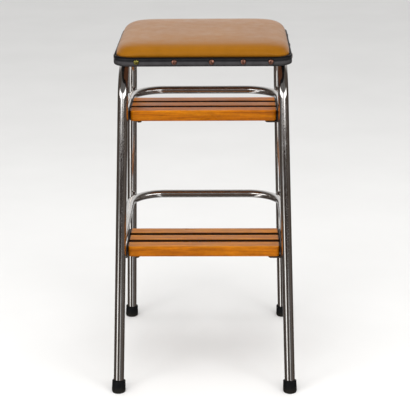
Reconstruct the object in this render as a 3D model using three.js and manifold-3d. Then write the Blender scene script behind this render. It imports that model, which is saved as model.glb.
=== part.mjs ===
// Flip-top step stool: two bent-tube side frames, two hoops, two slatted steps
// and an upholstered seat that tips up on two pivots in the rear bends.
// Millimetres, +Z up, the front of the stool towards -Y, origin on the floor
// in the middle of the four feet.
import * as THREE from 'three';
import { mergeVertices } from 'three/addons/utils/BufferGeometryUtils.js';
import Module from 'manifold-3d';

const wasm = await Module();
wasm.setup();

const degree = Math.PI / 180;

// Clearances
const seatClearance = 0.3;
const fitClearance = 0.3;
const cutOverrun = 3;

// Side frames
const legDiameter = 19.05;
const legWall = 1.5;
const footHalfSpacing = 158;
const frontFootReach = 180.6;
const rearFootReach = 172.7;
const splayAngle = 1.52 * degree;
const frontLeanAngle = 11.6 * degree;
const rearLeanAngle = 0.4 * degree;
const railHeight = 579.5;
const frameBendRadius = 65;
const pivotBendAngle = 38 * degree;

// Rubber feet
const footDiameter = 25.4;
const footHeight = 21.5;
const footFloor = 6;
const footBevel = 1.2;

// Hoops
const hoopDiameter = 16;
const hoopWall = 1.5;
const hoopBendRadius = 65;
const lowerHoopLift = 12;
const upperHoopLift = -10.5;

// Steps
const slatCount = 3;
const slatWidth = 27;
const slatGap = 10;
const slatThickness = 19.5;
const slatEdgeRound = 1.8;
const slatNoseRadius = 7;
const slatCornerRadius = 3;
const slatEndClearance = 1;
const lowerStepBelowRail = 317.5;
const lowerStepSetback = 6;
const upperStepBelowRail = 77;
const upperStepSetback = 15;

// Step brackets and their screws
const bracketThickness = 2.5;
const bracketLipWidth = 22;
const bracketTopDrop = 1.5;
const bracketLipRound = 6;
const screwDiameter = 3.6;
const screwHeadDiameter = 8;
const screwHeadHeight = 2.4;
const screwReach = 13;

// Seat
const seatWidth = 318;
const seatFront = -98.6;
const seatRear = 181.4;
const seatCornerRadius = 32;
const boardThickness = 12;
const bufferDiameter = 18;
const bufferThickness = 2.9;
const bufferStemDiameter = 6;
const bufferStemLength = 8;
const bufferInset = 14;
const bandHeight = 16.4;
const bandThickness = 3;
const bandHang = 0.6;
const coverThickness = 1.2;
const cushionRise = 24;
const cushionBulgeRise = 4;
const cushionBulgeInset = 3;

// Dome nails round the seat
const nailHeadDiameter = 9.6;
const nailHeadHeight = 2.2;
const nailShankDiameter = 2;
const nailShankLength = 13;

// Seat pivots
const pivotDiameter = 6;
const pivotHeadDiameter = 12;
const pivotHeadHeight = 3.4;
const pivotNutWidth = 10;
const pivotNutThickness = 5;
const hingeThickness = 2.5;
const hingeBossDiameter = 13;
const hingeBossHeight = 1.6;
const hingeNoseRadius = 10;
const hingeWidth = 44;
const hingeFlangeWidth = 26;
const hingeScrewReach = 9;

// Shares: places along the piece that each table is named after
const frontNailShares = [-0.733, -0.314, 0.101, 0.453, 0.758];
const rearNailShares = [-0.6, 0, 0.6];
const sideNailShares = [-0.64, 0, 0.64];
const bandProfileShares = [
  [1, 0], [0.5, 0], [0.14, 0.08], [0, 0.26], [0.06, 0.46], [0.4, 0.6],
  [0.18, 0.7], [0.1, 0.84], [0.34, 0.97], [0.66, 1], [1, 0.94],
];
const crownPower = 4;
const crownSweep = 88 * degree;
const hingeScrewShares = [-0.3, 0.3];

// Facets
const legSides = 18;
const hoopSides = 16;
const bendSteps = 7;
const roundSides = 16;
const screwSides = 8;
const nailSides = 8;
const shankSides = 6;
const outlineCornerSteps = 5;
const outlineEdgeSteps = 2;
const crownSteps = 8;

// Derived places
const legRadius = legDiameter / 2;
const hoopRadius = hoopDiameter / 2;
const stepDepth = slatCount * slatWidth + (slatCount - 1) * slatGap;
const boardBottom = railHeight + legRadius + bufferThickness + seatClearance;
const boardTop = boardBottom + boardThickness;
const bandBottom = boardBottom - bandHang;
const bandTop = bandBottom + bandHeight;
const seatHalfWidth = seatWidth / 2;
const seatHalfDepth = (seatRear - seatFront) / 2;
const seatMiddle = (seatRear + seatFront) / 2;
const legHalfSpacing = (z) => footHalfSpacing - z * Math.tan(splayAngle);
const frontLegPlace = (z) => -frontFootReach + z * Math.tan(frontLeanAngle);
const rearLegPlace = (z) => rearFootReach - z * Math.tan(rearLeanAngle);
const lowerStepTop = railHeight - lowerStepBelowRail;
const upperStepTop = railHeight - upperStepBelowRail;
const lowerStepFront = frontLegPlace(lowerStepTop) + lowerStepSetback;
const upperStepFront = frontLegPlace(upperStepTop) + upperStepSetback;

// Materials
const metal = (color, roughness) => new THREE.MeshStandardMaterial({ color, roughness, metalness: 1 });
const plain = (color, roughness) => new THREE.MeshStandardMaterial({ color, roughness, metalness: 0 });

// A tube's centre line: straight runs joined by round bends at the corners.
// Its stations lie at the ends of the runs and evenly round each bend.
class BentPath extends THREE.Curve {
  constructor(corners, bendRadius) {
    super();
    this.stations = [];
    this.bends = [];
    const last = corners.length - 1;
    this.addStation(corners[0], corners[1].clone().sub(corners[0]).normalize());
    for (let i = 1; i < last; i++) {
      this.addBend(corners[i - 1], corners[i], corners[i + 1], bendRadius);
    }
    this.addStation(corners[last], corners[last].clone().sub(corners[last - 1]).normalize());
  }

  addStation(point, tangent) {
    this.stations.push({ point: point.clone(), tangent: tangent.clone() });
  }

  addBend(before, corner, after, radius) {
    const arriving = corner.clone().sub(before).normalize();
    const leaving = after.clone().sub(corner).normalize();
    const turn = arriving.angleTo(leaving);
    const run = radius * Math.tan(turn / 2);
    const start = corner.clone().addScaledVector(arriving, -run);
    const axis = arriving.clone().cross(leaving).normalize();
    const toCentre = axis.clone().cross(arriving);
    const centre = start.clone().addScaledVector(toCentre, radius);
    this.bends.push({ centre, axis, turn, spoke: start.clone().sub(centre) });
    for (let i = 0; i <= bendSteps; i++) {
      const angle = turn * i / bendSteps;
      const spoke = start.clone().sub(centre).applyAxisAngle(axis, angle);
      this.addStation(centre.clone().add(spoke), arriving.clone().applyAxisAngle(axis, angle));
    }
  }

  // The point at an angle before the end of one bend
  pointBeforeBendEnd(index, angle) {
    const { centre, axis, turn, spoke } = this.bends[index];
    return spoke.clone().applyAxisAngle(axis, turn - angle).add(centre);
  }

  getPointAt(u) {
    return this.stations[Math.round(u * (this.stations.length - 1))].point.clone();
  }

  getTangentAt(u) {
    return this.stations[Math.round(u * (this.stations.length - 1))].tangent.clone();
  }
}

function circlePath(radius, sides) {
  const points = [];
  for (let i = 0; i < sides; i++) {
    const angle = 2 * Math.PI * i / sides;
    points.push(new THREE.Vector2(radius * Math.cos(angle), radius * Math.sin(angle)));
  }
  return points;
}

function tubeAlong(path, radius, wall, sides) {
  const section = new THREE.Shape(circlePath(radius, sides));
  section.holes.push(new THREE.Path(circlePath(radius - wall, sides)));
  return new THREE.ExtrudeGeometry(section, { steps: path.stations.length - 1, extrudePath: path });
}

// Booleans
function solidOf(geometry) {
  const bare = geometry.clone();
  bare.deleteAttribute('normal');
  bare.deleteAttribute('uv');
  const merged = mergeVertices(bare, fitClearance / 1000);
  return new wasm.Manifold(new wasm.Mesh({
    numProp: 3,
    vertProperties: new Float32Array(merged.attributes.position.array),
    triVerts: new Uint32Array(merged.index.array),
  }));
}

function geometryOf(solid) {
  const mesh = solid.getMesh();
  const geometry = new THREE.BufferGeometry();
  geometry.setAttribute('position', new THREE.BufferAttribute(new Float32Array(mesh.vertProperties), 3));
  geometry.setIndex(new THREE.BufferAttribute(new Uint32Array(mesh.triVerts), 1));
  return geometry;
}

function cutBy(geometry, tools) {
  return geometryOf(tools.reduce((solid, tool) => solid.subtract(solidOf(tool)), solidOf(geometry)));
}

function joined(geometries) {
  return geometryOf(geometries.slice(1).reduce((solid, next) => solid.add(solidOf(next)), solidOf(geometries[0])));
}

// Turns a geometry made round +Y so that its axis points along a direction
function aimed(geometry, direction, place) {
  const turn = new THREE.Quaternion().setFromUnitVectors(new THREE.Vector3(0, 1, 0), direction);
  return geometry.applyQuaternion(turn).translate(place.x, place.y, place.z);
}

function rod(from, to, radius, sides) {
  const span = to.clone().sub(from);
  const middle = from.clone().add(to).multiplyScalar(0.5);
  return aimed(new THREE.CylinderGeometry(radius, radius, span.length(), sides), span.normalize(), middle);
}

function turned(profile, sides) {
  return new THREE.LatheGeometry(profile.map(([radius, height]) => new THREE.Vector2(radius, height)), sides);
}

// A closed solid from rings of points, the first and last ring filled in
function loft(rings) {
  const count = rings[0].length;
  const positions = rings.flat().flatMap((point) => [point.x, point.y, point.z]);
  const indices = [];
  for (let ring = 0; ring < rings.length - 1; ring++) {
    for (let i = 0; i < count; i++) {
      const a = ring * count + i;
      const b = ring * count + (i + 1) % count;
      indices.push(a, b, b + count, a, b + count, a + count);
    }
  }
  [0, rings.length - 1].forEach((ring) => {
    const centre = rings[ring].reduce((sum, point) => sum.add(point), new THREE.Vector3());
    centre.divideScalar(count);
    const middle = positions.length / 3;
    positions.push(centre.x, centre.y, centre.z);
    for (let i = 0; i < count; i++) {
      const a = ring * count + i;
      const b = ring * count + (i + 1) % count;
      indices.push(...(ring === 0 ? [middle, b, a] : [middle, a, b]));
    }
  });
  const geometry = new THREE.BufferGeometry();
  geometry.setAttribute('position', new THREE.Float32BufferAttribute(positions, 3));
  geometry.setIndex(indices);
  return geometry;
}

// A closed band from rings that meet again: each ring is the same profile point carried round
function loopedBand(rings) {
  const count = rings[0].length;
  const positions = rings.flat().flatMap((point) => [point.x, point.y, point.z]);
  const indices = [];
  for (let ring = 0; ring < rings.length; ring++) {
    const next = (ring + 1) % rings.length;
    for (let i = 0; i < count; i++) {
      const j = (i + 1) % count;
      const a = ring * count + i;
      const b = ring * count + j;
      indices.push(a, b, next * count + j, a, next * count + j, next * count + i);
    }
  }
  const geometry = new THREE.BufferGeometry();
  geometry.setAttribute('position', new THREE.Float32BufferAttribute(positions, 3));
  geometry.setIndex(indices);
  return geometry;
}

// The seat's plan outline, drawn in by an inset, at a height, scaled towards the middle,
// where it rounds off into an ellipse
function seatRing(inset, z, scale = 1) {
  const halfWidth = seatHalfWidth - inset;
  const halfDepth = seatHalfDepth - inset;
  const radius = seatCornerRadius - inset;
  const corners = [[1, 1], [-1, 1], [-1, -1], [1, -1]];
  const points = [];
  corners.forEach(([sideX, sideY], index) => {
    const centreX = sideX * (halfWidth - radius);
    const centreY = sideY * (halfDepth - radius);
    for (let i = 0; i <= outlineCornerSteps; i++) {
      const angle = (index + i / outlineCornerSteps) * Math.PI / 2;
      points.push([centreX + radius * Math.cos(angle), centreY + radius * Math.sin(angle)]);
    }
    const [nextX, nextY] = corners[(index + 1) % corners.length];
    const from = points[points.length - 1];
    const angle = (index + 1) * Math.PI / 2;
    const to = [
      nextX * (halfWidth - radius) + radius * Math.cos(angle),
      nextY * (halfDepth - radius) + radius * Math.sin(angle),
    ];
    for (let i = 1; i < outlineEdgeSteps; i++) {
      const share = i / outlineEdgeSteps;
      points.push([from[0] + (to[0] - from[0]) * share, from[1] + (to[1] - from[1]) * share]);
    }
  });
  return points.map(([x, y]) => {
    const reach = Math.hypot(x / halfWidth, y / halfDepth);
    const share = scale / (scale + (1 - scale) * reach);
    return new THREE.Vector3(x * share, seatMiddle + y * share, z);
  });
}

// The crowned form of the cushion, its skin moved inwards by an offset
function cushionForm(offset, bottom) {
  const wallInset = bandThickness + fitClearance + offset;
  const bulgeInset = cushionBulgeInset + offset;
  const shoulder = bandTop + cushionBulgeRise;
  const rise = cushionRise - cushionBulgeRise - offset;
  const rings = [
    seatRing(wallInset, bottom),
    seatRing(wallInset, bandTop),
    seatRing((wallInset + bulgeInset) / 2, bandTop + cushionBulgeRise / 3),
  ];
  for (let i = 0; i <= crownSteps; i++) {
    const angle = crownSweep * i / crownSteps;
    const scale = Math.cos(angle) ** (2 / crownPower);
    rings.push(seatRing(bulgeInset, shoulder + rise * Math.sin(angle) ** (2 / crownPower), scale));
  }
  return loft(rings);
}

const stool = new THREE.Group();
const frameGroup = new THREE.Group();
const seatGroup = new THREE.Group();
stool.add(frameGroup, seatGroup);

function addPiece(group, name, geometry, material) {
  const mesh = new THREE.Mesh(geometry, material);
  mesh.name = name;
  group.add(mesh);
}

const sides = [['left', -1], ['right', 1]];

// Side frames: front leg, rear bend and rear leg in one bent tube
function sideFramePath(side) {
  const tubeEnd = footFloor + fitClearance;
  const corners = [
    new THREE.Vector3(side * legHalfSpacing(tubeEnd), frontLegPlace(tubeEnd), tubeEnd),
    new THREE.Vector3(side * legHalfSpacing(railHeight), frontLegPlace(railHeight), railHeight),
    new THREE.Vector3(side * legHalfSpacing(railHeight), rearLegPlace(railHeight), railHeight),
    new THREE.Vector3(side * legHalfSpacing(tubeEnd), rearLegPlace(tubeEnd), tubeEnd),
  ];
  return new BentPath(corners, frameBendRadius);
}

const pivotPoint = sideFramePath(1).pointBeforeBendEnd(1, pivotBendAngle);

function sideFrame(side) {
  const path = sideFramePath(side);
  const pivotBore = rod(
    new THREE.Vector3(side * (pivotPoint.x - legDiameter), pivotPoint.y, pivotPoint.z),
    new THREE.Vector3(side * (pivotPoint.x + legDiameter), pivotPoint.y, pivotPoint.z),
    pivotDiameter / 2 + fitClearance,
    roundSides,
  );
  return cutBy(tubeAlong(path, legRadius, legWall, legSides), [pivotBore]);
}

sides.forEach(([word, side]) => {
  addPiece(frameGroup, `side_frame_${word}`, sideFrame(side), metal(0xc9ccd0, 0.12));
});

// Rubber feet: cups on the leg ends, cut flat where they stand
function legDirection(side, leg) {
  const low = new THREE.Vector3(side * legHalfSpacing(0), leg(0), 0);
  const high = new THREE.Vector3(side * legHalfSpacing(railHeight), leg(railHeight), railHeight);
  return high.sub(low).normalize();
}

function rubberFoot(side, leg) {
  const bore = legRadius + fitClearance;
  const outer = footDiameter / 2;
  const cup = turned([
    [0, -cutOverrun],
    [outer - footBevel, -cutOverrun],
    [outer - footBevel, 0],
    [outer, 2 * footBevel],
    [outer, footHeight - footBevel],
    [outer - footBevel, footHeight],
    [bore, footHeight],
    [bore, footFloor],
    [0, footFloor],
  ], roundSides);
  const place = new THREE.Vector3(side * legHalfSpacing(0), leg(0), 0);
  const below = new THREE.BoxGeometry(2 * footDiameter, 2 * footDiameter, footDiameter);
  below.translate(place.x, place.y, -footDiameter / 2);
  return cutBy(aimed(cup, legDirection(side, leg), place), [below]);
}

sides.forEach(([word, side]) => {
  addPiece(frameGroup, `foot_front_${word}`, rubberFoot(side, frontLegPlace), plain(0x1b1b1d, 0.75));
  addPiece(frameGroup, `foot_rear_${word}`, rubberFoot(side, rearLegPlace), plain(0x1b1b1d, 0.75));
});

// Hoops: a U of tube, its arms coped to the front legs, its corners against the rear legs
const lowerHoopHeight = lowerStepTop - slatThickness / 2 + lowerHoopLift;
const upperHoopHeight = upperStepTop - slatThickness / 2 + upperHoopLift;

function hoop(height) {
  const arm = legHalfSpacing(height);
  const reach = hoopBendRadius + hoopRadius + legRadius + seatClearance;
  const bendCentre = rearLegPlace(height) - Math.sqrt(reach ** 2 - hoopBendRadius ** 2);
  const bar = bendCentre + hoopBendRadius;
  const corners = [
    new THREE.Vector3(-arm, frontLegPlace(height), height),
    new THREE.Vector3(-arm, bar, height),
    new THREE.Vector3(arm, bar, height),
    new THREE.Vector3(arm, frontLegPlace(height), height),
  ];
  const copes = sides.map(([, side]) => {
    const middle = new THREE.Vector3(side * arm, frontLegPlace(height), height);
    const half = legDirection(side, frontLegPlace).multiplyScalar(hoopDiameter);
    return rod(middle.clone().sub(half), middle.clone().add(half), legRadius + seatClearance, legSides);
  });
  return cutBy(tubeAlong(new BentPath(corners, hoopBendRadius), hoopRadius, hoopWall, hoopSides), copes);
}

addPiece(frameGroup, 'lower_hoop', hoop(lowerHoopHeight), metal(0xc9ccd0, 0.12));
addPiece(frameGroup, 'upper_hoop', hoop(upperHoopHeight), metal(0xc9ccd0, 0.12));

// Steps: three slats on two angle brackets, screwed from below
const steps = [
  { word: 'lower', top: lowerStepTop, front: lowerStepFront, hoopHeight: lowerHoopHeight },
  { word: 'upper', top: upperStepTop, front: upperStepFront, hoopHeight: upperHoopHeight },
];

const bracketFace = (step) => legHalfSpacing(step.hoopHeight) - hoopRadius - seatClearance;
const slatHalfLength = (step) => bracketFace(step) - bracketThickness - slatEndClearance;
const slatFront = (step, index) => step.front + index * (slatWidth + slatGap);
const screwInset = bracketThickness + bracketLipWidth / 2;

function roundedPlan(halfLength, width, frontRadius, rearRadius) {
  const plan = new THREE.Shape();
  plan.moveTo(-halfLength, frontRadius);
  plan.absarc(frontRadius - halfLength, frontRadius, frontRadius, Math.PI, 1.5 * Math.PI, false);
  plan.absarc(halfLength - frontRadius, frontRadius, frontRadius, 1.5 * Math.PI, 2 * Math.PI, false);
  plan.absarc(halfLength - rearRadius, width - rearRadius, rearRadius, 0, Math.PI / 2, false);
  plan.absarc(rearRadius - halfLength, width - rearRadius, rearRadius, Math.PI / 2, Math.PI, false);
  return plan;
}

// Where one bracket's screws come up into the slats, one to a slat
function screwPlaces(step, side) {
  return Array.from({ length: slatCount }, (unused, i) => {
    return [side * (bracketFace(step) - screwInset), slatFront(step, i) + slatWidth / 2];
  });
}

function screwBores(places, from, to) {
  return places.map(([x, y]) => rod(
    new THREE.Vector3(x, y, from),
    new THREE.Vector3(x, y, to),
    screwDiameter / 2 + fitClearance,
    screwSides,
  ));
}

function slat(step, index) {
  const frontRadius = index === 0 ? slatNoseRadius : slatCornerRadius;
  const body = new THREE.ExtrudeGeometry(roundedPlan(slatHalfLength(step), slatWidth, frontRadius, slatCornerRadius), {
    depth: slatThickness - 2 * slatEdgeRound,
    bevelThickness: slatEdgeRound,
    bevelSize: slatEdgeRound,
    bevelOffset: -slatEdgeRound,
    bevelSegments: 1,
    curveSegments: 3,
  });
  const bottom = step.top - slatThickness;
  body.translate(0, slatFront(step, index), bottom + slatEdgeRound);
  const places = sides.map(([, side]) => screwPlaces(step, side)[index]);
  return cutBy(body, screwBores(places, bottom - cutOverrun, bottom + screwReach - bracketThickness));
}

// An angle bar: a web beside the slat ends and a lip with rounded corners under them
function stepBracket(step, side) {
  const bottom = step.top - slatThickness - seatClearance - bracketThickness;
  const height = step.top - bracketTopDrop - bottom;
  const width = bracketThickness + bracketLipWidth;
  const lipPlan = new THREE.Shape();
  lipPlan.moveTo(0, 0);
  lipPlan.absarc(width - bracketLipRound, bracketLipRound, bracketLipRound, 1.5 * Math.PI, 2 * Math.PI, false);
  lipPlan.absarc(width - bracketLipRound, stepDepth - bracketLipRound, bracketLipRound, 0, Math.PI / 2, false);
  lipPlan.lineTo(0, stepDepth);
  const lip = new THREE.ExtrudeGeometry(lipPlan, { depth: bracketThickness, bevelEnabled: false, curveSegments: 4 });
  lip.translate(0, -stepDepth / 2, 0);
  const web = new THREE.BoxGeometry(bracketThickness, stepDepth, height);
  web.translate(bracketThickness / 2, 0, height / 2);
  const angle = joined([lip, web]);
  angle.rotateZ(side > 0 ? Math.PI : 0);
  angle.translate(side * bracketFace(step), step.front + stepDepth / 2, bottom);
  const bores = screwBores(screwPlaces(step, side), bottom - cutOverrun, bottom + bracketThickness + cutOverrun);
  return cutBy(angle, bores);
}

function panScrew(reach) {
  const head = screwHeadDiameter / 2;
  const shank = screwDiameter / 2;
  return turned([
    [0, -screwHeadHeight],
    [head * 0.6, -screwHeadHeight],
    [head, -screwHeadHeight * 0.45],
    [head, 0],
    [shank, 0],
    [shank, reach - shank],
    [0, reach],
  ], screwSides);
}

function screwAt([x, y], underside, reach) {
  return panScrew(reach).rotateX(Math.PI / 2).translate(x, y, underside - seatClearance);
}

steps.forEach((step) => {
  for (let i = 0; i < slatCount; i++) {
    addPiece(frameGroup, `${step.word}_slat_${i + 1}`, slat(step, i), plain(0xb9782f, 0.4));
  }
  sides.forEach(([word, side]) => {
    addPiece(frameGroup, `${step.word}_bracket_${word}`, stepBracket(step, side), plain(0x241a16, 0.5));
    const underside = step.top - slatThickness - seatClearance - bracketThickness;
    screwPlaces(step, side).forEach((place, i) => {
      const screw = screwAt(place, underside, screwReach - 2 * seatClearance);
      addPiece(frameGroup, `${step.word}_screw_${word}_${i + 1}`, screw, metal(0x9a9a9a, 0.35));
    });
  });
});

// Seat pivots: a bolt through each rear bend, the hinge ear and a nut
const bossFace = pivotPoint.x - legRadius - seatClearance;
const earFace = bossFace - hingeBossHeight;
const nutFace = earFace - hingeThickness - seatClearance;
const boltEnd = nutFace - pivotNutThickness;
const boltHeadFace = pivotPoint.x + legRadius + seatClearance;

// Places a turned piece on the pivot axis, its own axis pointing outwards
function onPivot(geometry, side, x) {
  return aimed(geometry, new THREE.Vector3(side, 0, 0), new THREE.Vector3(side * x, pivotPoint.y, pivotPoint.z));
}

function pivotBolt(side) {
  const shank = pivotDiameter / 2;
  const head = pivotHeadDiameter / 2;
  const length = boltHeadFace - boltEnd;
  return onPivot(turned([
    [0, 0],
    [shank, 0],
    [shank, length],
    [head, length],
    [head, length + pivotHeadHeight * 0.4],
    [head * 0.7, length + pivotHeadHeight * 0.85],
    [0, length + pivotHeadHeight],
  ], roundSides), side, boltEnd);
}

function pivotNut(side) {
  const bore = pivotDiameter / 2 + fitClearance;
  const corner = pivotNutWidth / 2 / Math.cos(Math.PI / 6);
  const nut = new THREE.CylinderGeometry(corner, corner, pivotNutThickness, 6);
  nut.translate(0, pivotNutThickness / 2, 0);
  const hole = new THREE.CylinderGeometry(bore, bore, 3 * pivotNutThickness, roundSides);
  return onPivot(cutBy(nut, [hole]), side, boltEnd);
}

// Hinge bracket: an ear with a pressed boss on the bolt, and a flange under the seat board
function hingeScrewPlaces(side) {
  const x = side * (earFace - hingeThickness - hingeFlangeWidth / 2);
  return hingeScrewShares.map((share) => [x, pivotPoint.y + share * hingeWidth]);
}

function hingeEar(side, top) {
  const ear = new THREE.Shape();
  const halfTop = hingeWidth / 2;
  const spread = Math.atan2(halfTop - hingeNoseRadius, top);
  ear.moveTo(-halfTop, top);
  ear.absarc(0, 0, hingeNoseRadius, Math.PI + spread, 2 * Math.PI - spread, false);
  ear.lineTo(halfTop, top);
  const plate = new THREE.ExtrudeGeometry(ear, { depth: hingeThickness, bevelEnabled: false, curveSegments: 8 });
  plate.rotateX(Math.PI / 2).rotateZ(Math.PI / 2);
  return plate.translate(side > 0 ? earFace - hingeThickness : -earFace, pivotPoint.y, pivotPoint.z);
}

function hingeBracket(side) {
  const flangeTop = boardBottom - seatClearance;
  const ear = hingeEar(side, flangeTop - pivotPoint.z);
  const bossLength = hingeThickness + hingeBossHeight;
  const boss = new THREE.CylinderGeometry(hingeBossDiameter / 2, hingeBossDiameter / 2, bossLength, roundSides);
  const reach = hingeThickness + hingeFlangeWidth;
  const flange = new THREE.BoxGeometry(reach, hingeWidth, hingeThickness);
  flange.translate(side * (earFace - reach / 2), pivotPoint.y, flangeTop - hingeThickness / 2);
  const boltBore = new THREE.CylinderGeometry(
    pivotDiameter / 2 + fitClearance,
    pivotDiameter / 2 + fitClearance,
    bossLength + 2 * cutOverrun,
    roundSides,
  );
  const bossMiddle = bossFace - bossLength / 2;
  return cutBy(joined([ear, flange, onPivot(boss, side, bossMiddle)]), [
    onPivot(boltBore, side, bossMiddle),
    ...screwBores(hingeScrewPlaces(side), flangeTop - hingeThickness - cutOverrun, flangeTop + cutOverrun),
  ]);
}

sides.forEach(([word, side]) => {
  addPiece(frameGroup, `pivot_bolt_${word}`, pivotBolt(side), metal(0xa8a8a8, 0.3));
  addPiece(frameGroup, `pivot_nut_${word}`, pivotNut(side), metal(0xa8a8a8, 0.35));
  addPiece(seatGroup, `seat_hinge_${word}`, hingeBracket(side), metal(0x8e8e90, 0.4));
  hingeScrewPlaces(side).forEach((place, i) => {
    const underside = boardBottom - seatClearance - hingeThickness;
    const screw = screwAt(place, underside, hingeScrewReach);
    addPiece(seatGroup, `hinge_screw_${word}_${i + 1}`, screw, metal(0x9a9a9a, 0.35));
  });
});

// Dome nails: places on the straight edges of the seat, with the direction each one faces
function nailPlaces() {
  const rows = [
    ['front', frontNailShares, (share) => [share * seatHalfWidth, seatFront], [0, -1]],
    ['rear', rearNailShares, (share) => [share * seatHalfWidth, seatRear], [0, 1]],
    ['left', sideNailShares, (share) => [-seatHalfWidth, seatMiddle + share * seatHalfDepth], [-1, 0]],
    ['right', sideNailShares, (share) => [seatHalfWidth, seatMiddle + share * seatHalfDepth], [1, 0]],
  ];
  return rows.flatMap(([word, shares, placeAt, out]) => shares.map((share, i) => ({
    name: `nail_${word}_${i + 1}`,
    point: new THREE.Vector3(...placeAt(share), bandBottom + bandHeight / 2),
    outward: new THREE.Vector3(...out, 0),
  })));
}

function nailBores() {
  return nailPlaces().map(({ point, outward }) => rod(
    point.clone().addScaledVector(outward, -nailShankLength - fitClearance),
    point.clone().addScaledVector(outward, cutOverrun),
    nailShankDiameter / 2 + fitClearance,
    shankSides,
  ));
}

function domeNail() {
  const head = nailHeadDiameter / 2;
  const shank = nailShankDiameter / 2;
  return turned([
    [0, -nailShankLength],
    [shank, -nailShankLength + nailShankDiameter],
    [shank, 0],
    [head, 0],
    [head * 0.88, nailHeadHeight * 0.5],
    [head * 0.5, nailHeadHeight * 0.88],
    [0, nailHeadHeight],
  ], nailSides);
}

// Seat: board, foam, cover, edge band, nails and the buffers under it
function seatBoard() {
  const inset = bandThickness + fitClearance + coverThickness + fitClearance;
  const slab = loft([seatRing(inset, boardBottom), seatRing(inset, boardTop)]);
  const hingeBores = screwBores(
    sides.flatMap(([, side]) => hingeScrewPlaces(side)),
    boardBottom - cutOverrun,
    boardBottom + hingeScrewReach - hingeThickness,
  );
  const bufferBores = bufferPlaces().map(([x, y]) => rod(
    new THREE.Vector3(x, y, boardBottom - cutOverrun),
    new THREE.Vector3(x, y, boardBottom + bufferStemLength + fitClearance),
    bufferStemDiameter / 2 + fitClearance,
    screwSides,
  ));
  return cutBy(slab, [...nailBores(), ...hingeBores, ...bufferBores]);
}

// The buffers stand on the rails just behind the front bends
function bufferPlaces() {
  const railFront = sideFramePath(1).bends[0].centre.y;
  return sides.map(([, side]) => [side * legHalfSpacing(railHeight), railFront + bufferInset]);
}

function seatBuffer([x, y]) {
  const pad = bufferDiameter / 2;
  const stem = bufferStemDiameter / 2;
  return turned([
    [0, -bufferThickness],
    [pad * 0.8, -bufferThickness],
    [pad, -bufferThickness * 0.6],
    [pad, -seatClearance],
    [stem, -seatClearance],
    [stem, bufferStemLength],
    [0, bufferStemLength],
  ], roundSides).rotateX(Math.PI / 2).translate(x, y, boardBottom);
}

function seatCover() {
  const outer = cushionForm(0, boardBottom);
  const cavity = cushionForm(coverThickness, boardBottom - cutOverrun);
  return cutBy(outer, [cavity, ...nailBores()]);
}

function edgeBand() {
  const rings = bandProfileShares.map(([insetShare, heightShare]) => {
    return seatRing(insetShare * bandThickness, bandBottom + heightShare * bandHeight);
  });
  return cutBy(loopedBand(rings), nailBores());
}

addPiece(seatGroup, 'seat_board', seatBoard(), plain(0x8a6a48, 0.8));
addPiece(seatGroup, 'seat_foam', cushionForm(coverThickness + fitClearance, boardTop + seatClearance), plain(0xe4d9a8, 0.95));
addPiece(seatGroup, 'seat_cover', seatCover(), plain(0xb07a2c, 0.35));
addPiece(seatGroup, 'seat_band', edgeBand(), plain(0x2a2a2e, 0.35));
nailPlaces().forEach(({ name, point, outward }) => {
  const nail = aimed(domeNail(), outward, point.clone().addScaledVector(outward, seatClearance));
  addPiece(seatGroup, name, nail, metal(0x8a5a44, 0.3));
});
sides.forEach(([word], i) => {
  addPiece(seatGroup, `seat_buffer_${word}`, seatBuffer(bufferPlaces()[i]), plain(0x1c1c1c, 0.8));
});

export default stool;
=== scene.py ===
"""Looks of the flip-top step stool: its finished surfaces, cushion, lights and camera."""
import math

import bmesh
import bpy
from mathutils import Matrix, Vector, noise


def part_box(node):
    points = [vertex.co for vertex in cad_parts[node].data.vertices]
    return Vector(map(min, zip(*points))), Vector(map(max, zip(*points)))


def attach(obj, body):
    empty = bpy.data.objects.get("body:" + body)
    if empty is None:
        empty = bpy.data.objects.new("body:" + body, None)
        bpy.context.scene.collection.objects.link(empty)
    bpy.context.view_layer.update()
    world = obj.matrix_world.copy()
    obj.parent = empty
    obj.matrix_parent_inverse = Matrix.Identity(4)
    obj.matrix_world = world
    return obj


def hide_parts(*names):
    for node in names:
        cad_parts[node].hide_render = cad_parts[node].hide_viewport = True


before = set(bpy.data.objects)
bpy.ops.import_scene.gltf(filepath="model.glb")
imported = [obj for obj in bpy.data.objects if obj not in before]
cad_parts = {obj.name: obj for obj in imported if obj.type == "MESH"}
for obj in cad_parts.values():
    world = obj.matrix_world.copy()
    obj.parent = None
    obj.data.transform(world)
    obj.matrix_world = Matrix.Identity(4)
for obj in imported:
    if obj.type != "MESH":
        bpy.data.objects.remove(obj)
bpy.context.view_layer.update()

MM = 0.001
X, Y, Z = Vector((1, 0, 0)), Vector((0, 1, 0)), Vector((0, 0, 1))
SIDES = (("left", -1), ("right", 1))

# The side frames, as the solids have them
LEG_RADIUS = 9.525 * MM
LEG_START = 6.3 * MM
FOOT_HALF_SPACING = 158 * MM
FRONT_FOOT_REACH = 180.6 * MM
REAR_FOOT_REACH = 172.7 * MM
SPLAY = math.tan(math.radians(1.52))
FRONT_LEAN = math.tan(math.radians(11.6))
REAR_LEAN = math.tan(math.radians(0.4))
RAIL_HEIGHT = 579.5 * MM
FRAME_BEND = 65 * MM

# The hoops
HOOP_RADIUS = 8 * MM
HOOP_BEND = 65 * MM
HOOP_HEIGHTS = {"lower": 264.25 * MM, "upper": 482.25 * MM}
HOOP_SINK = 0.4 * MM             # how far the arms' ends stand in the front legs
HOOP_CLEARANCE = 0.3 * MM        # between the corners and the rear legs

# The rubber feet
FOOT_RADIUS = 12.7 * MM
FOOT_HEIGHT = 21.5 * MM
FOOT_THICKNESS = 6 * MM
FOOT_SPARE = 3 * MM              # made too long by this much, then cut flat at the floor
FOOT_CLEARANCE = 0.25 * MM

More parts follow.
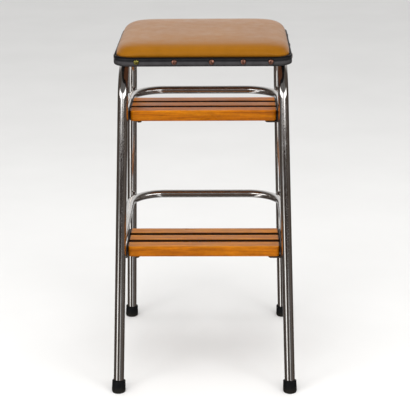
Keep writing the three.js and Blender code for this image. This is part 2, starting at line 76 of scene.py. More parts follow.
# The slats
SLAT_NOSE = 7 * MM               # the round corners of a step's front slat
SLAT_CORNER = 3 * MM
SLAT_EASING = 1.8 * MM
SLAT_SEEDS = {"lower": 10, "upper": 3}
# Painted light: how much each step's slat tops are lightened, standing in for light falling on
# them
SLAT_TOP_PAINTED_LIGHT = {"lower": (1.15, 1.28, 1.0), "upper": (1.75, 1.75, 1.0)}

# The fasteners
PRESSED_EASING = 0.5 * MM        # on brackets, hinges and nuts
SCREW_HEAD = 4 * MM
SCREW_SHANK = 1.8 * MM
SCREW_HEAD_HEIGHT = 2.4 * MM
SLOT_WIDTH = 0.9 * MM
SLOT_DEPTH = 1.0 * MM
BOLT_HEAD = 6 * MM
BOLT_SHANK = 3 * MM
BOLT_HEAD_HEIGHT = 3.4 * MM
BOLT_START = 0.2 * MM
BUFFER_RADIUS = 9 * MM
BUFFER_STEM = 3 * MM
BUFFER_DEPTH = 2.9 * MM
BUFFER_REACH = 8 * MM

# The dome nails: which way each row faces, and how many it has
NAIL_ROWS = {"front": (-Y, 5), "rear": (Y, 3), "left": (-X, 3), "right": (X, 3)}
BRASS_NAILS = ("nail_front_1", "nail_left_2")
NAIL_HEAD = 4.8 * MM
NAIL_SHANK = 0.9 * MM
NAIL_LENGTH = 12 * MM
FRONT_DOME = 2.2 * MM
OTHER_DOME = 1.2 * MM
OTHER_SINK = 0.8 * MM            # how far the other rows' nails are driven into the band

# The seat
SEAT_HALF_WIDTH = 159 * MM
SEAT_FRONT = -98.6 * MM
SEAT_REAR = 181.4 * MM
SEAT_CORNER = 32 * MM
BOARD_BOTTOM = 592.225 * MM
BOARD_TOP = 604.225 * MM
BOARD_EASING = 0.6 * MM
BAND_BOTTOM = 591.625 * MM
BAND_TOP = 608.025 * MM

# The cushion: a slab, which is crowned and then stuffed
SLAB_BOTTOM = BOARD_TOP + 0.6 * MM
SLAB_RISE = 4 * MM
SLAB_INSET = 3.8 * MM
SLAB_VOXEL = 3 * MM
CROWN_TOP = 631.5 * MM
CROWN_INSET = 3 * MM
CROWN_START = 3.5 * MM           # the crown begins over this height above the band
CROWN_VOXEL = 4 * MM
FRONT_FULLNESS = 0.93
STUFFING_FRAMES = 20
STUFFING_LIMIT = 1.5 * MM
HELD_BELOW = BAND_TOP + 1 * MM
HELD_FADE = 4 * MM
SWELL = 1.3 * MM                 # how far the lower wall bulges over the band
SWELL_HEIGHT = 7 * MM
SWELL_CORNER = SEAT_CORNER - 5 * MM

# The cover's skirt and hem, which are black inside the band and under the board
SKIRT_OUTER, SKIRT_INNER = 3.1 * MM, 4.3 * MM
SKIRT_LOW, SKIRT_HIGH = 591.3 * MM, 606 * MM
HEM_INNER = 21 * MM
HEM_LOW, HEM_HIGH = BOARD_BOTTOM - 0.5 * MM, BOARD_BOTTOM - 0.02 * MM
STAPLE_INSET = 13 * MM
STAPLE_SPACING = 33 * MM
STAPLE_LENGTH = 9 * MM
STAPLE_WIRE = 0.7 * MM

# How finely shapes are made
TUBE_SIDES = 48
BEND_STEPS = 24
BAND_RUN_STEPS = 8
EASING_STEPS = 3
CORNER_ANGLE = 35                # degrees past which an edge is sharp, or is eased
SAME_POINT = 0.001 * MM          # points nearer than this are one

# The floor and the camera; the camera's values come from a fit to the photograph
FLOOR_HALF_SIZE = 7
FLOOR_DROP = 0.05 * MM
SENSOR = 36
FOCAL_SHARE = 1300 / 410
PITCH, HEADING, ROLL = 0.325, -0.019, -0.008
EYE_ASIDE = 0.717 * MM
EYE_BACK = 2.340455
EYE_SHIFT = 3.6 * MM
EYE_HEIGHT = 1.0913


def leg_place(side, height, rear):
    """A point on a leg's centre line."""
    across = side * (FOOT_HALF_SPACING - height * SPLAY)
    if rear:
        return Vector((across, REAR_FOOT_REACH - height * REAR_LEAN, height))
    return Vector((across, height * FRONT_LEAN - FRONT_FOOT_REACH, height))


def leg_direction(side, rear):
    """The way up along a leg."""
    return (leg_place(side, RAIL_HEIGHT, rear) - leg_place(side, 0, rear)).normalized()


# ---------------------------------------------------------------- materials

MIX_FACTOR, MIX_LOW, MIX_HIGH, MIX_RESULT = 0, 6, 7, 2     # sockets of a colour mix node


def new_material(name):
    material = bpy.data.materials.new(name)
    material.use_nodes = True
    return material, material.node_tree, material.node_tree.nodes["Principled BSDF"]


def add(tree, kind, inputs=None, **settings):
    """A new node, its inputs linked to sockets or set to values."""
    node = tree.nodes.new(kind)
    for setting, value in settings.items():
        setattr(node, setting, value)
    for socket, value in (inputs or {}).items():
        if isinstance(value, bpy.types.NodeSocket):
            tree.links.new(value, node.inputs[socket])
        else:
            node.inputs[socket].default_value = value
    return node


def link(tree, output, shader, socket):
    tree.links.new(output, shader.inputs[socket])


def colour_of(tone):
    """A colour from three values, a grey from one, or a socket as it is."""
    if isinstance(tone, bpy.types.NodeSocket):
        return tone
    return (*tone, 1) if isinstance(tone, tuple) else (tone, tone, tone, 1)


def place(tree, scale=(1, 1, 1), shift=(0, 0, 0)):
    """Object coordinates, scaled and shifted."""
    coordinates = add(tree, "ShaderNodeTexCoord")
    return add(tree, "ShaderNodeMapping", {
        "Vector": coordinates.outputs["Object"],
        "Location": shift,
        "Scale": scale,
    }).outputs["Vector"]


def parts_of(tree, vector):
    """A vector's X, Y and Z."""
    return add(tree, "ShaderNodeSeparateXYZ", {"Vector": vector}).outputs


def maths(tree, operation, *values):
    return add(tree, "ShaderNodeMath", dict(enumerate(values)), operation=operation).outputs[0]


def sliding(tree, value, low, high, first=0, last=1):
    """Runs from first to last while the value runs from low to high."""
    return add(tree, "ShaderNodeMapRange", {
        "Value": value,
        "From Min": low,
        "From Max": high,
        "To Min": first,
        "To Max": last,
    }).outputs["Result"]


def ramp(tree, factor, *stops):
    """A colour or a grey from a factor, by (position, tone) stops."""
    node = add(tree, "ShaderNodeValToRGB", {"Fac": factor})
    elements = node.color_ramp.elements
    while len(elements) < len(stops):
        elements.new(0.5)
    for element, (position, tone) in zip(elements, stops):
        element.position = position
        element.color = colour_of(tone)
    return node.outputs["Color"]


def noise_of(tree, vector, scale, detail=4, roughness=0.55, distortion=0):
    return add(tree, "ShaderNodeTexNoise", {
        "Vector": vector,
        "Scale": scale,
        "Detail": detail,
        "Roughness": roughness,
        "Distortion": distortion,
    }).outputs["Fac"]


def pebbles_of(tree, vector, scale):
    """The rounded grain of coated cloth."""
    inputs = {"Vector": vector, "Scale": scale, "Randomness": 1.0}
    return add(tree, "ShaderNodeTexVoronoi", inputs, feature="SMOOTH_F1").outputs["Distance"]


def mixed(tree, factor, low, high, blend="MIX"):
    inputs = {MIX_FACTOR: factor, MIX_LOW: colour_of(low), MIX_HIGH: colour_of(high)}
    node = add(tree, "ShaderNodeMix", inputs, data_type="RGBA", blend_type=blend)
    return node.outputs[MIX_RESULT]


def multiplied(tree, share, tone, by):
    return mixed(tree, share, tone, by, "MULTIPLY")


def bump(tree, shader, height, strength, distance=MM):
    inputs = {"Height": height, "Strength": strength, "Distance": distance}
    link(tree, add(tree, "ShaderNodeBump", inputs).outputs["Normal"], shader, "Normal")


def chrome_material(name, dullest):
    """Bright plate with faint polishing marks, brownish film and small pits."""
    material, tree, shader = new_material(name)
    where = place(tree)
    film = noise_of(tree, where, 26, 5)
    specks = noise_of(tree, where, 420, 3)
    pits = ramp(tree, specks, (0.66, 0), (0.74, 1))
    tone = ramp(tree, film, (0.3, (0.66, 0.65, 0.64)), (0.7, (0.56, 0.53, 0.50)))
    link(tree, mixed(tree, pits, tone, (0.2, 0.15, 0.11)), shader, "Base Color")
    shader.inputs["Metallic"].default_value = 1.0
    cloudy = noise_of(tree, place(tree, (1, 1, 0.25)), 60, 6, 0.7)
    link(tree, ramp(tree, cloudy, (0.3, dullest / 2), (0.75, dullest)), shader, "Roughness")
    marks = noise_of(tree, place(tree, (9, 9, 0.6)), 90, 3, 0.6)
    bump(tree, shader, mixed(tree, 0.35, marks, specks), 0.03)
    return material


def rubber_material():
    """Black rubber, dusty near the floor."""
    material, tree, shader = new_material("foot_rubber")
    where = place(tree)
    dust = noise_of(tree, where, 140, 6, 0.7)
    low = ramp(tree, parts_of(tree, where)["Z"], (0.0, 1), (0.012, 0))
    tone = ramp(tree, dust, (0.35, (0.0025, 0.0028, 0.0033)), (0.75, (0.007, 0.0072, 0.0078)))
    link(tree, mixed(tree, low, tone, (0.016, 0.014, 0.011)), shader, "Base Color")
    link(tree, ramp(tree, dust, (0.3, 0.46), (0.8, 0.68)), shader, "Roughness")
    shader.inputs["Specular IOR Level"].default_value = 0.1
    bump(tree, shader, dust, 0.15)
    return material


def wood_material(name, seed, gaps, top, half_length, top_painted_light):
    """Straight-grained timber under orange-brown varnish.

    It is dark at the ends, has painted shade along the gaps, and its top faces are lightened as
    painted light.
    """
    material, tree, shader = new_material(name)
    shift = (seed * 0.37, seed * 0.23, seed * 0.61)
    bands = noise_of(tree, place(tree, (2.2, 42, 42), shift), 3.2, 5, 0.6, 0.6)
    fibres = noise_of(tree, place(tree, (9, 320, 320), shift), 2.4, 5, 0.7)
    pores = noise_of(tree, place(tree, (60, 1500, 1500), shift), 1.6, 2, 0.5)
    patches = noise_of(tree, place(tree, (1, 1, 1), shift), 9, 3, 0.5)
    mottles = noise_of(tree, place(tree, (0.5, 1, 1), shift), 150, 4, 0.65)
    tone = ramp(
        tree, bands,
        (0.28, (0.20, 0.048, 0.0007)),
        (0.45, (0.355, 0.096, 0.0007)),
        (0.58, (0.455, 0.136, 0.001)),
        (0.78, (0.525, 0.18, 0.003)),
    )
    tone = multiplied(tree, 0.75, tone, ramp(tree, fibres, (0.3, 0.62), (0.62, 1)))
    tone = multiplied(tree, 0.5, tone, ramp(tree, pores, (0.30, 0.5), (0.42, 1)))
    tone = multiplied(tree, 0.8, tone, ramp(tree, patches, (0.35, 0.82), (0.65, 1.08)))
    tone = multiplied(tree, 0.7, tone, ramp(tree, mottles, (0.32, 0.78), (0.62, 1.1)))
    part = parts_of(tree, place(tree))
    # Painted light: the top faces are lightened by the step's factor
    upper = sliding(tree, part["Z"], top - 1.6 * MM, top - 0.4 * MM)
    tone = mixed(tree, upper, tone, multiplied(tree, 1.0, tone, top_painted_light))
    # Painted shade: the slats are darkened along the gaps between them
    for edge in gaps:
        away = maths(tree, "ABSOLUTE", maths(tree, "SUBTRACT", part["Y"], edge))
        inside = sliding(tree, away, 0.5 * MM, 1.7 * MM, 1, 0)
        tone = mixed(tree, inside, tone, (0.012, 0.004, 0.001))
    reach = maths(tree, "ABSOLUTE", part["X"])
    ends = sliding(tree, reach, half_length - 3.2 * MM, half_length - 0.8 * MM)
    link(tree, mixed(tree, ends, tone, (0.022, 0.008, 0.003)), shader, "Base Color")
    link(tree, ramp(tree, patches, (0.3, 0.26), (0.75, 0.4)), shader, "Roughness")
    shader.inputs["Specular IOR Level"].default_value = 0.16
    bump(tree, shader, fibres, 0.12)
    return material


def paint_material():
    """Dark brown paint, patchy and a little rough."""
    material, tree, shader = new_material("bracket_paint")
    where = place(tree)
    patches = noise_of(tree, where, 90, 5, 0.65)
    tone = ramp(tree, patches, (0.35, (0.012, 0.007, 0.005)), (0.7, (0.035, 0.02, 0.013)))
    link(tree, tone, shader, "Base Color")
    link(tree, ramp(tree, patches, (0.3, 0.38), (0.7, 0.6)), shader, "Roughness")
    bump(tree, shader, noise_of(tree, where, 500, 3), 0.1)
    return material


def steel_material(name, light, dark, roughness):
    """Plated or bare steel, dull where it is dark."""
    material, tree, shader = new_material(name)
    where = place(tree)
    patches = noise_of(tree, where, 130, 6, 0.7)
    link(tree, ramp(tree, patches, (0.35, dark), (0.65, light)), shader, "Base Color")
    shader.inputs["Metallic"].default_value = 1.0
    dull = ramp(tree, patches, (0.3, roughness + 0.14), (0.7, roughness))
    link(tree, dull, shader, "Roughness")
    bump(tree, shader, noise_of(tree, where, 700, 3), 0.08)
    return material


def nail_material(name, light, dark):
    """A thin copper or brass wash, rubbed in patches."""
    material, tree, shader = new_material(name)
    where = place(tree)
    wear = noise_of(tree, where, 260, 5, 0.7)
    link(tree, ramp(tree, wear, (0.38, dark), (0.6, light)), shader, "Base Color")
    shader.inputs["Metallic"].default_value = 1.0
    link(tree, ramp(tree, wear, (0.35, 0.42), (0.7, 0.2)), shader, "Roughness")
    bump(tree, shader, noise_of(tree, where, 900, 3), 0.12)
    return material


def vinyl_material():
    """Tan coated cloth with a fine pebbled grain and a pale sheen."""
    material, tree, shader = new_material("seat_vinyl")
    where = place(tree)
    soft = noise_of(tree, where, 7, 4, 0.5)
    fine = noise_of(tree, where, 55, 5, 0.6)
    tone = ramp(tree, soft, (0.3, (0.200, 0.073, 0.0009)), (0.7, (0.229, 0.087, 0.0016)))
    tone = multiplied(tree, 0.5, tone, ramp(tree, fine, (0.3, 0.86), (0.7, 1.06)))
    link(tree, tone, shader, "Base Color")
    link(tree, ramp(tree, fine, (0.3, 0.30), (0.75, 0.43)), shader, "Roughness")
    shader.inputs["Specular IOR Level"].default_value = 0.17
    shader.inputs["Sheen Weight"].default_value = 0.12
    shader.inputs["Sheen Roughness"].default_value = 0.35
    creases = noise_of(tree, where, 1300, 3)
    grain = mixed(tree, 0.35, pebbles_of(tree, where, 950), creases)
    bump(tree, shader, grain, 0.22, 0.25 * MM)
    return material


def edge_vinyl_material():
    """Black coated cloth; on the band it has painted sheen along the roll and the bead, and
    painted shade in the groove and at the top.
    """
    material, tree, shader = new_material("edge_vinyl")
    where = place(tree)
    fine = noise_of(tree, where, 70, 5, 0.65)
    share = sliding(tree, parts_of(tree, where)["Z"], BAND_BOTTOM, BAND_TOP)
    # Painted highlight and shade by height: lighter along the roll and the bead, darker in the
    # groove and along the top edge
    painted_sheen_and_shade = ramp(
        tree, share,
        (0.0, (0.010, 0.010, 0.011)),
        (0.22, (0.032, 0.030, 0.031)),
        (0.42, (0.038, 0.036, 0.038)),
        (0.58, (0.008, 0.008, 0.009)),
        (0.76, (0.016, 0.016, 0.018)),
        (0.9, (0.002, 0.002, 0.0025)),
    )
    tone = multiplied(tree, 1.0, painted_sheen_and_shade, ramp(tree, fine, (0.3, 0.8), (0.75, 1.25)))
    link(tree, tone, shader, "Base Color")
    link(tree, ramp(tree, fine, (0.3, 0.34), (0.75, 0.5)), shader, "Roughness")
    shader.inputs["Specular IOR Level"].default_value = 0.14
    bump(tree, shader, pebbles_of(tree, where, 1100), 0.2, 0.2 * MM)
    return material


def ply_material():
    """Bare reddish sheet timber."""
    material, tree, shader = new_material("board_ply")
    bands = noise_of(tree, place(tree, (30, 2.5, 1)), 3, 4, 0.6, 1.2)
    fibres = noise_of(tree, place(tree, (420, 14, 1)), 2, 5, 0.7)
    tone = ramp(tree, bands, (0.3, (0.12, 0.040, 0.013)), (0.7, (0.20, 0.078, 0.028)))
    tone = multiplied(tree, 0.6, tone, ramp(tree, fibres, (0.3, 0.7), (0.65, 1)))
    link(tree, tone, shader, "Base Color")
    shader.inputs["Roughness"].default_value = 0.78
    bump(tree, shader, fibres, 0.2)
    return material


CHROME = chrome_material("chrome_plate", 0.145)
HOOP_CHROME = chrome_material("chrome_hoops", 0.19)
RUBBER = rubber_material()
PAINT = paint_material()
ZINC = steel_material("zinc_plate", (0.5, 0.5, 0.48), (0.28, 0.26, 0.23), 0.3)
PRESSED = steel_material("pressed_steel", (0.42, 0.42, 0.43), (0.24, 0.23, 0.22), 0.36)
COPPER = nail_material("nail_copper", (0.47, 0.23, 0.17), (0.22, 0.092, 0.066))
BRASS = nail_material("nail_brass", (0.46, 0.41, 0.10), (0.14, 0.125, 0.03))
VINYL = vinyl_material()
EDGE = edge_vinyl_material()
PLY = ply_material()


# ---------------------------------------------------------------- making pieces

def points_in(made):
    return [v for v in made if isinstance(v, bmesh.types.BMVert)]


def edges_in(made):
    return [e for e in made if isinstance(e, bmesh.types.BMEdge)]


def piece_of(name, shape, body, material, replaced=(), sharp=CORNER_ANGLE):
    """Turns a bmesh into a finished piece that rides on a body."""
    bmesh.ops.remove_doubles(shape, verts=shape.verts, dist=SAME_POINT)
    bmesh.ops.recalc_face_normals(shape, faces=shape.faces)
    mesh = bpy.data.meshes.new(name)
    shape.to_mesh(mesh)
    shape.free()
    for face in mesh.polygons:
        face.use_smooth = True
    mesh.set_sharp_from_angle(angle=math.radians(sharp))
    piece = bpy.data.objects.new(name, mesh)
    bpy.context.scene.collection.objects.link(piece)
    mesh.materials.append(material)
    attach(piece, body)
    if replaced:
        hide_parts(*replaced)
    return piece


def rounded(piece, width, segments=EASING_STEPS, angle=CORNER_ANGLE):
    """A live bevel on a piece's crisp edges."""
    edge = piece.modifiers.new("rounding", "BEVEL")
    edge.width = width
    edge.segments = segments
    edge.limit_method = "ANGLE"
    edge.angle_limit = math.radians(angle)
    edge.harden_normals = False
    return piece


def capped(shape):
    bmesh.ops.holes_fill(shape, edges=[e for e in shape.edges if e.is_boundary], sides=0)
    return shape


def cut(shape, point, normal, clear=False):
    """Cuts a bmesh along a plane, and if asked takes away what lies in front of it."""
    everything = list(shape.verts) + list(shape.edges) + list(shape.faces)
    bmesh.ops.bisect_plane(shape, geom=everything, plane_co=point, plane_no=normal,
                           clear_outer=clear)


def run_on(shape, ring, move):
    """Carries a ring of edges along a straight run."""
    made = bmesh.ops.extrude_edge_only(shape, edges=ring)["geom"]
    bmesh.ops.translate(shape, vec=move, verts=points_in(made))
    fresh = set(points_in(made))
    return [e for e in edges_in(made) if set(e.verts) <= fresh]


def bend_on(shape, ring, centre, axis, turn, steps):
    """Carries a ring of edges round a bend."""
    points = list(dict.fromkeys(v for e in ring for v in e.verts))
    made = bmesh.ops.spin(shape, geom=points + ring, cent=centre, axis=axis, dvec=(0, 0, 0),
                          angle=turn, steps=steps, use_merge=False, use_duplicate=False)
    return edges_in(made["geom_last"])


def bent_tube(corners, radius, bend_radius):
    """A tube whose centre line turns at each inner corner, and the points of its two ends."""
    shape = bmesh.new()
    heading = (corners[1] - corners[0]).to_track_quat("Z", "X").to_matrix().to_4x4()
    bmesh.ops.create_circle(shape, segments=TUBE_SIDES, radius=radius,
                            matrix=Matrix.Translation(corners[0]) @ heading)
    ring = list(shape.edges)
    first = {v for e in ring for v in e.verts}
    here = corners[0]
    for before, corner, after in zip(corners, corners[1:], corners[2:]):
        arriving, leaving = (corner - before).normalized(), (after - corner).normalized()
        turn = arriving.angle(leaving)
        back = bend_radius * math.tan(turn / 2)
        start = corner - arriving * back
        axis = arriving.cross(leaving).normalized()
        centre = start + axis.cross(arriving) * bend_radius
        ring = run_on(shape, ring, start - here)
        ring = bend_on(shape, ring, centre, axis, turn, BEND_STEPS)
        here = corner + leaving * back
    ring = run_on(shape, ring, corners[-1] - here)
    return shape, first, {v for e in ring for v in e.verts}


def turned(profile, steps):
    """Spins a profile of (radius, height) points round +Z."""
    shape = bmesh.new()
    points = [shape.verts.new((radius, 0, height)) for radius, height in profile]
    edges = [shape.edges.new(pair) for pair in zip(points, points[1:])]
    bmesh.ops.spin(shape, geom=points + edges, cent=(0, 0, 0), axis=(0, 0, 1), dvec=(0, 0, 0),
                   angle=math.tau, steps=steps, use_merge=True, use_duplicate=False)
    bmesh.ops.remove_doubles(shape, verts=shape.verts, dist=SAME_POINT)
    return shape


def aimed(shape, direction, point):
    """Turns a shape's +Z to a direction, and puts its origin at a point."""
    heading = direction.to_track_quat("Z", "X").to_matrix().to_4x4()
    bmesh.ops.transform(shape, matrix=Matrix.Translation(point) @ heading, verts=shape.verts)
    return shape


def block(low, high):
    """A box between two corners, and its upright edges."""
    shape = bmesh.new()
    middle, size = (low + high) / 2, high - low
    bmesh.ops.create_cube(shape, size=1,
                          matrix=Matrix.Translation(middle) @ Matrix.Diagonal((*size, 1)))
    upright = [e for e in shape.edges if abs(e.verts[0].co.z - e.verts[1].co.z) > size.z / 2]
    return shape, upright


def eased(shape, edges, radius, segments):
    bmesh.ops.bevel(shape, geom=edges, offset=radius, segments=segments, profile=0.5,
                    affect="EDGES", material=-1)


def seat_ring(profile, steps=16):
    """Carries a closed profile of (inset, height) points once round the seat's edge."""
    shape = bmesh.new()
    low = SEAT_FRONT + SEAT_CORNER
    high = SEAT_REAR - SEAT_CORNER
    side = SEAT_HALF_WIDTH - SEAT_CORNER
    points = [shape.verts.new((SEAT_HALF_WIDTH - inset, low, height)) for inset, height in profile]
    ring = [shape.edges.new(pair) for pair in zip(points, points[1:] + points[:1])]
    for centre, run in (
        ((side, high, 0), Vector((0, high - low, 0))),
        ((-side, high, 0), Vector((-2 * side, 0, 0))),
        ((-side, low, 0), Vector((0, low - high, 0))),
        ((side, low, 0), Vector((2 * side, 0, 0))),
    ):
        for _ in range(BAND_RUN_STEPS):
            ring = run_on(shape, ring, run / BAND_RUN_STEPS)
        ring = bend_on(shape, ring, centre, Z, math.pi / 2, steps)
    bmesh.ops.remove_doubles(shape, verts=shape.verts, dist=0.01 * MM)
    return shape


def strip(inner, outer, low, high, lean=0):
    """A flat profile for seat_ring, its lower inner corner lifted by the lean."""
    return [(outer, low), (inner, low + lean), (inner, high), (outer, high)]


def copied(node, body, material, width, segments=EASING_STEPS):
    """A node's own solid with its edges rounded over."""
    shape = bmesh.new()
    shape.from_mesh(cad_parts[node].data)
    # Points nearer than this would leave slivers beside the rounded edges
    bmesh.ops.remove_doubles(shape, verts=shape.verts, dist=0.2 * MM)
    bmesh.ops.dissolve_limit(shape, angle_limit=math.radians(1), verts=shape.verts,
                             edges=shape.edges, use_dissolve_boundaries=False, delimit=set())
    piece = piece_of(node + "_finished", shape, body, material, [node])
    return rounded(piece, width, segments)


# ---------------------------------------------------------------- frame

def rubber_foot(side, rear):
    """A moulded cup with a thickened foot and a soft rim, cut flat where it stands."""
    bore = LEG_RADIUS + FOOT_CLEARANCE
    outer, top = FOOT_RADIUS, FOOT_HEIGHT
    shape = turned([
        (0, -FOOT_SPARE),
        (outer - 1.4 * MM, -FOOT_SPARE),
        (outer - 1.2 * MM, 0),
        (outer - 0.5 * MM, 0.9 * MM),
        (outer - 0.1 * MM, 2.2 * MM),
        (outer, 4 * MM),
        (outer - 0.25 * MM, 12 * MM),
        (outer - 0.5 * MM, top - 3.2 * MM),
        (outer - 0.35 * MM, top - 2.2 * MM),
        (outer - 0.4 * MM, top - 1.0 * MM),
        (outer - 0.8 * MM, top - 0.25 * MM),
        (outer - 1.3 * MM, top),
        (bore + 0.5 * MM, top),
        (bore, top - 0.5 * MM),
        (bore, FOOT_THICKNESS),
        (0, FOOT_THICKNESS),
    ], 48)
    aimed(shape, leg_direction(side, rear), leg_place(side, 0, rear))
    cut(shape, (0, 0, 0), (0, 0, -1), True)
    return capped(shape)


def on_leg(point, side, inside):
    """Slides a point along Y onto the rear of a front leg's surface, or inside it."""
    axis = leg_direction(side, False)
    start = leg_place(side, 0, False)
    away = (point - start) - axis * (point - start).dot(axis)
    step = Y - axis * Y.dot(axis)
    a, b = step.dot(step), 2 * away.dot(step)
    c = away.dot(away) - (LEG_RADIUS - inside) ** 2
    root = max(b * b - 4 * a * c, 0)
    return point + Y * ((math.sqrt(root) - b) / (2 * a))


def hoop_bar(height):
    """Where the middle of a hoop's back bar runs, its corners touching the rear legs."""
    reach = HOOP_BEND + HOOP_RADIUS + LEG_RADIUS + HOOP_CLEARANCE
    return leg_place(1, height, True).y - math.sqrt(reach ** 2 - HOOP_BEND ** 2) + HOOP_BEND


def weld(side, height):
    """A brazed fillet round a hoop's arm where it meets a front leg."""
    shape = bmesh.new()
    middle = leg_place(side, height, False)
    rings = []
    # How much wider than the arm each ring is, and how far behind the leg, in mm
    for wider, behind in (
        (-0.4, 3.2), (0.25, 2.3), (0.9, 1.3), (1.5, 0.6), (1.9, 0.05), (1.6, -0.6),
    ):
        radius = HOOP_RADIUS + wider * MM
        made = bmesh.ops.create_circle(shape, segments=TUBE_SIDES, radius=radius)["verts"]
        for vert in made:
            across = vert.co.x * min(1, (LEG_RADIUS - 0.35 * MM) / radius)
            seed = Vector((vert.co.x, vert.co.y, side * height)) * 400
            point = on_leg(middle + X * across + Z * vert.co.y, side, 0)
            vert.co = point + Y * (behind * MM + 0.25 * MM * noise.noise(seed))
        rings.append([e for e in shape.edges if all(v in made for v in e.verts)])
    for near, far in zip(rings, rings[1:]):
        bmesh.ops.bridge_loops(shape, edges=near + far)
    return capped(shape)


def braze(side, height):
    """The brazed spot between a hoop's corner and the rear leg outside it."""
    leg = leg_place(side, height, True)
    bend_centre = Vector((leg.x - side * HOOP_BEND, hoop_bar(height) - HOOP_BEND, height))
    inward = (bend_centre - leg).normalized()
    half_size = (5.2 * MM, 4.6 * MM, 2.6 * MM)
    shape = bmesh.new()
    bmesh.ops.create_icosphere(shape, subdivisions=4, radius=1)
    for vert in shape.verts:
        swell = 1 + 0.1 * noise.noise(vert.co * 2.3 + Vector((side, height * 9, 0)))
        vert.co = Vector([value * half for value, half in zip(vert.co, half_size)]) * swell
    return aimed(shape, inward, leg + inward * LEG_RADIUS)


for word, side in SIDES:
    corners = [
        leg_place(side, LEG_START, False),
        leg_place(side, RAIL_HEIGHT, False),
        leg_place(side, RAIL_HEIGHT, True),
        leg_place(side, LEG_START, True),
    ]
    shape, _, _ = bent_tube(corners, LEG_RADIUS, FRAME_BEND)
    replaced = ["side_frame_" + word]
    piece_of("frame_tube_" + word, capped(shape), "frame", CHROME, replaced)

for word, side in SIDES:
    for end, rear in (("front", False), ("rear", True)):
        node = f"foot_{end}_{word}"
        shape = rubber_foot(side, rear)
        piece_of(node + "_finished", shape, "frame", RUBBER, [node], 40)

for word, height in HOOP_HEIGHTS.items():
    bar = hoop_bar(height)
    left, right = leg_place(-1, height, False), leg_place(1, height, False)
    corners = [left, Vector((left.x, bar, height)), Vector((right.x, bar, height)), right]
    shape, first, last = bent_tube(corners, HOOP_RADIUS, HOOP_BEND)
    for ends, side in ((first, -1), (last, 1)):
        for vert in ends:
            vert.co = on_leg(vert.co, side, HOOP_SINK)
    replaced = [word + "_hoop"]
    piece_of(word + "_hoop_tube", capped(shape), "frame", HOOP_CHROME, replaced)
    for hand, side in SIDES:
        piece_of(f"{word}_weld_{hand}", weld(side, height), "frame", CHROME)
        piece_of(f"{word}_braze_{hand}", braze(side, height), "frame", CHROME)


# ---------------------------------------------------------------- steps

def slat_shape(low, high, nose):
    """A planed bar with round corners, larger ones at its front where it is the nose."""
    shape, upright = block(low, high)
    middle = (low + high) / 2
    for front, radius in ((True, nose), (False, SLAT_CORNER)):
        edges = [e for e in upright if e.is_valid and (e.verts[0].co.y < middle.y) == front]
        eased(shape, edges, radius, 8)
    return shape


for step, top_painted_light in SLAT_TOP_PAINTED_LIGHT.items():
    for number in (1, 2, 3):
        node = f"{step}_slat_{number}"
        low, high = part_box(node)
        gaps = {1: (high.y,), 2: (low.y, high.y), 3: (low.y,)}[number]
        seed = number + SLAT_SEEDS[step]
        material = wood_material(f"varnished_{node}", seed, gaps, high.z, high.x, top_painted_light)
        shape = slat_shape(low, high, SLAT_NOSE if number == 1 else SLAT_CORNER)
        piece = piece_of(node + "_finished", shape, "frame", material, [node])
        rounded(piece, SLAT_EASING, 4, 50)
    for word, _ in SIDES:
        copied(f"{step}_bracket_{word}", "frame", PAINT, PRESSED_EASING)


# ---------------------------------------------------------------- fasteners

def screw_shape(reach):
    """A round-headed screw with a slot, its head below and its shank up."""
    head, shank, height = SCREW_HEAD, SCREW_SHANK, SCREW_HEAD_HEIGHT
    shape = turned([
        (0, -height),
        (head * 0.35, -height * 0.97),
        (head * 0.65, -height * 0.82),
        (head * 0.87, -height * 0.52),
        (head * 0.98, -height * 0.2),
        (head, 0),
        (shank, 0),
        (shank, reach - shank),
        (0, reach),
    ], 24)
    for sign in (-1, 1):
        cut(shape, (sign * SLOT_WIDTH / 2, 0, 0), (1, 0, 0))
    floor_faces = []
    for face in shape.faces:
        centre = face.calc_center_median()
        if abs(centre.x) < SLOT_WIDTH / 2 and centre.z < -height * 0.2 and face.normal.z < -0.1:
            floor_faces.append(face)
    made = bmesh.ops.extrude_face_region(shape, geom=floor_faces)["geom"]
    bmesh.ops.delete(shape, geom=floor_faces, context="FACES_KEEP_BOUNDARY")
    for vert in points_in(made):
        vert.co.z = max(vert.co.z, -height + SLOT_DEPTH)
    return shape


def bolt_shape(length):
    """A round-headed bolt along +Z, its head at the far end."""
    head, shank, neck = BOLT_HEAD, BOLT_SHANK, length - BOLT_HEAD_HEIGHT
    return turned([
        (0, BOLT_START),
        (shank - 0.5 * MM, BOLT_START),
        (shank, 0.8 * MM),
        (shank, neck),
        (head, neck),
        (head, length - BOLT_HEAD_HEIGHT * 0.72),
        (head * 0.93, length - BOLT_HEAD_HEIGHT * 0.45),
        (head * 0.75, length - BOLT_HEAD_HEIGHT * 0.2),
        (head * 0.45, length - BOLT_HEAD_HEIGHT * 0.05),
        (0, length),
    ], 32)


def buffer_shape():
    """A rubber button whose stem goes up into the board."""
    pad, stem, depth = BUFFER_RADIUS, BUFFER_STEM, BUFFER_DEPTH
    return turned([
        (0, -depth),
        (pad * 0.78, -depth),
        (pad * 0.92, -2.5 * MM),
        (pad, -1.7 * MM),
        (pad, -0.9 * MM),
        (pad * 0.96, -0.3 * MM),
        (stem, -0.3 * MM),
        (stem, BUFFER_REACH),
        (0, BUFFER_REACH),
    ], 40)


def nail_shape(tall):
    """A dome nail, the top of its dome at the origin."""
    head, shank = NAIL_HEAD, NAIL_SHANK
    return turned([
        (0, -NAIL_LENGTH),
        (shank, -10 * MM),
        (shank, -tall + 0.6 * MM),
        (head * 0.9, -tall + 0.5 * MM),
        (head, -tall),
        (head, -tall + 0.25 * MM),
        (head * 0.97, -tall * 0.72),
        (head * 0.86, -tall * 0.45),
        (head * 0.68, -tall * 0.22),
        (head * 0.4, -tall * 0.06),
        (0, 0),
    ], 32)


def node_box(node):
    """The middle and the two far corners of a node."""
    low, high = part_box(node)
    return (low + high) / 2, low, high


